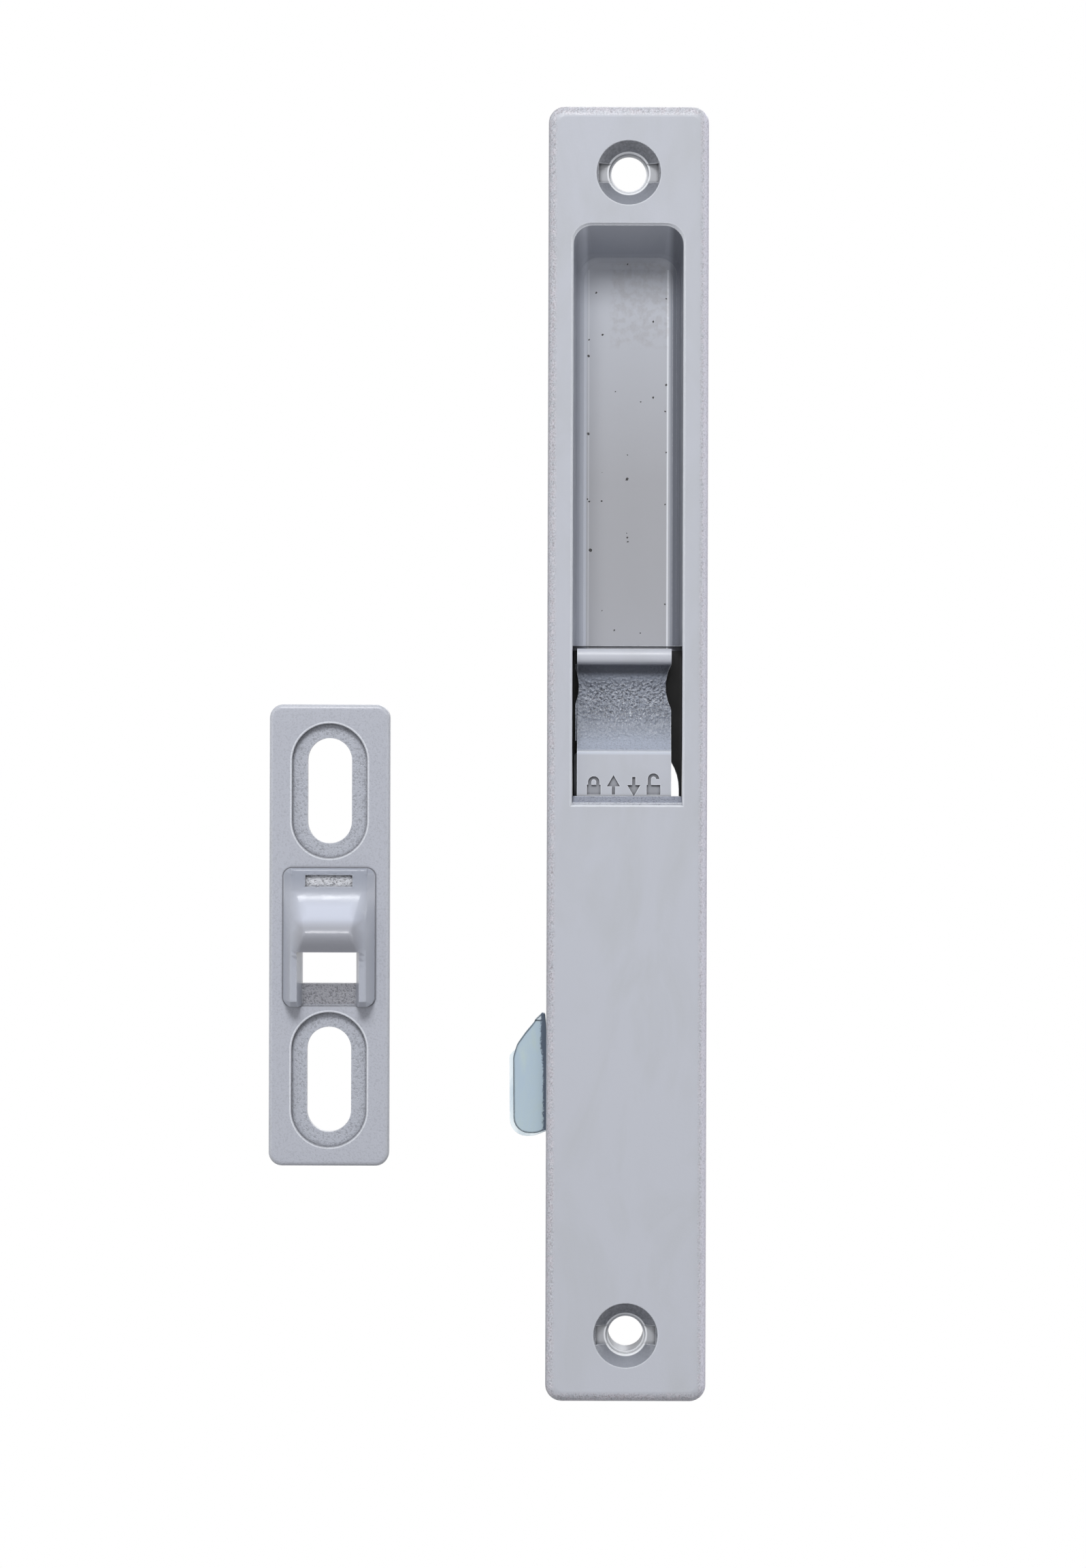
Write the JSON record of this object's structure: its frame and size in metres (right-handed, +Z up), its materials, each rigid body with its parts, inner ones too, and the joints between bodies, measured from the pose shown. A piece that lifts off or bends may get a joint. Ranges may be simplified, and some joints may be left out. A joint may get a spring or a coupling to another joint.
{
  "type": "sliding patio door lock",
  "caption": "Flush lock for a sliding patio door: pull recess, thumb slide, laminated swing hook in a cast case, and a separate slotted keeper with a hooded mouth.",
  "frame": {"origin": "midway between the two fixing screw holes, on the seat at the back of the face plate", "axes": "+Z up along the lock's length, +X to the right seen from the front, +Y into the door"},
  "size_m": [0.0644, 0.019, 0.1906],
  "materials": {
    "cast_paint": "silver paint on a die casting, satin, fine orange peel, rough as cast in the scoops",
    "zinc_plate": "steel with clear blue zinc plating, satin",
    "plain_steel": "plated steel, satin",
    "spring_steel": "dark spring steel"
  },
  "bodies": {
    "lock_case": {"lock_body": "cast_paint", "back_cover": "plain_steel", "cover_screws": "plain_steel", "pivot_pin": "plain_steel", "pivot_bush": "plain_steel", "pivot_washer": "plain_steel", "keeper": "cast_paint"},
    "slide": {"thumb_slide": "cast_paint", "slide_bar": "zinc_plate", "slide_rivets": "plain_steel", "friction_spring": "spring_steel"},
    "hook": {"hook_front_plate": "zinc_plate", "hook_rear_plate": "zinc_plate", "hook_rivets": "plain_steel", "crank_pin": "plain_steel"}
  },
  "joints": [
    {"name": "thumb_slide_travel", "type": "slide", "parent": "lock_case", "child": "slide", "axis": [0, 0, -1], "range_m": [0, 0.007]},
    {"name": "hook_swing", "type": "hinge", "parent": "lock_case", "child": "hook", "pos_m": [0.0013, 0.0052, -0.0464], "axis": [0, -1, 0], "range_deg": [0, 76]}
  ],
  "couplings": [
    {"joint": "hook_swing", "follows": "thumb_slide_travel", "rad_per_m": 189.49}
  ]
}
